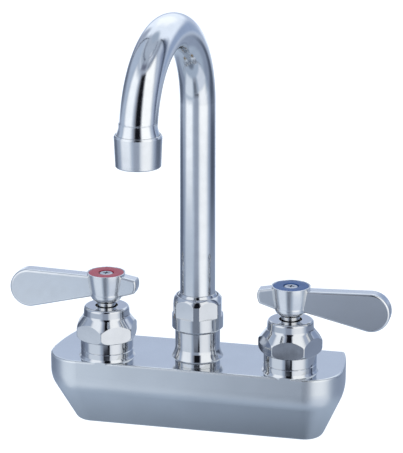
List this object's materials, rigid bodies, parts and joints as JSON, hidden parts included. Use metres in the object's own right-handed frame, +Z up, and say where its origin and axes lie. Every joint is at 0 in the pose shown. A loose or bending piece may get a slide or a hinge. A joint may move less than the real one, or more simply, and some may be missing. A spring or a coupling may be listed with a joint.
{
  "type": "wall-mounted faucet",
  "caption": "Wall-mounted mixer faucet: boat-shaped chrome casting, quarter-turn lever valves and a swivel gooseneck spout with aerator.",
  "frame": {"origin": "on the wall face, midway between the hot and cold inlets, at the height of their axes", "axes": "+X to the user's right (cold side), +Y into the wall along the inlets, +Z up along the spout and valve axes"},
  "size_m": [0.2086, 0.1722, 0.241],
  "materials": {
    "satin_chrome": "chrome plated casting, softly polished",
    "polished_chrome": "bright chrome plate",
    "brass": "machined brass",
    "stainless_steel": "plain stainless steel",
    "black_rubber": "moulded rubber",
    "red_plastic": "moulded red index ring",
    "blue_plastic": "moulded blue index ring",
    "white_plastic": "moulded acetal or PTFE",
    "white_ceramic": "lapped alumina ceramic"
  },
  "bodies": {
    "faucet": {"faucet_body": "satin_chrome", "wall_gasket": "black_rubber", "spout_adapter": "polished_chrome", "glide_washer": "white_plastic", "spout_nut": "polished_chrome", "hot_shank": "brass", "hot_shank_washer": "stainless_steel", "hot_locknut": "brass", "hot_cap_nut": "polished_chrome", "hot_cartridge_body": "brass", "hot_cartridge_oring": "black_rubber", "hot_seat_seal": "black_rubber", "hot_fixed_disc": "white_ceramic", "hot_thrust_washer": "white_plastic", "cold_shank": "brass", "cold_shank_washer": "stainless_steel", "cold_locknut": "brass", "cold_cap_nut": "polished_chrome", "cold_cartridge_body": "brass", "cold_cartridge_oring": "black_rubber", "cold_seat_seal": "black_rubber", "cold_fixed_disc": "white_ceramic", "cold_thrust_washer": "white_plastic"},
    "hot_handle": {"hot_handle": "polished_chrome", "hot_index_ring": "red_plastic", "hot_handle_screw": "stainless_steel", "hot_spindle": "brass", "hot_spindle_orings": "black_rubber", "hot_spindle_clip": "stainless_steel", "hot_moving_disc": "white_ceramic"},
    "cold_handle": {"cold_handle": "polished_chrome", "cold_index_ring": "blue_plastic", "cold_handle_screw": "stainless_steel", "cold_spindle": "brass", "cold_spindle_orings": "black_rubber", "cold_spindle_clip": "stainless_steel", "cold_moving_disc": "white_ceramic"},
    "spout": {"spout_tube": "polished_chrome", "spout_ferrule": "polished_chrome", "spout_orings": "black_rubber", "aerator_shell": "polished_chrome", "aerator_washer": "black_rubber", "aerator_screen": "stainless_steel", "aerator_insert": "white_plastic"}
  },
  "joints": [
    {"name": "spout_swivel", "type": "hinge", "parent": "faucet", "child": "spout", "pos_m": [0, -0.0339, 0.026], "axis": [0, 0, 1], "continuous": true},
    {"name": "hot_handle_turn", "type": "hinge", "parent": "faucet", "child": "hot_handle", "pos_m": [-0.0508, -0.0339, 0.026], "axis": [0, 0, 1], "range_deg": [0, 90]},
    {"name": "cold_handle_turn", "type": "hinge", "parent": "faucet", "child": "cold_handle", "pos_m": [0.0508, -0.0339, 0.026], "axis": [0, 0, -1], "range_deg": [0, 90]}
  ]
}
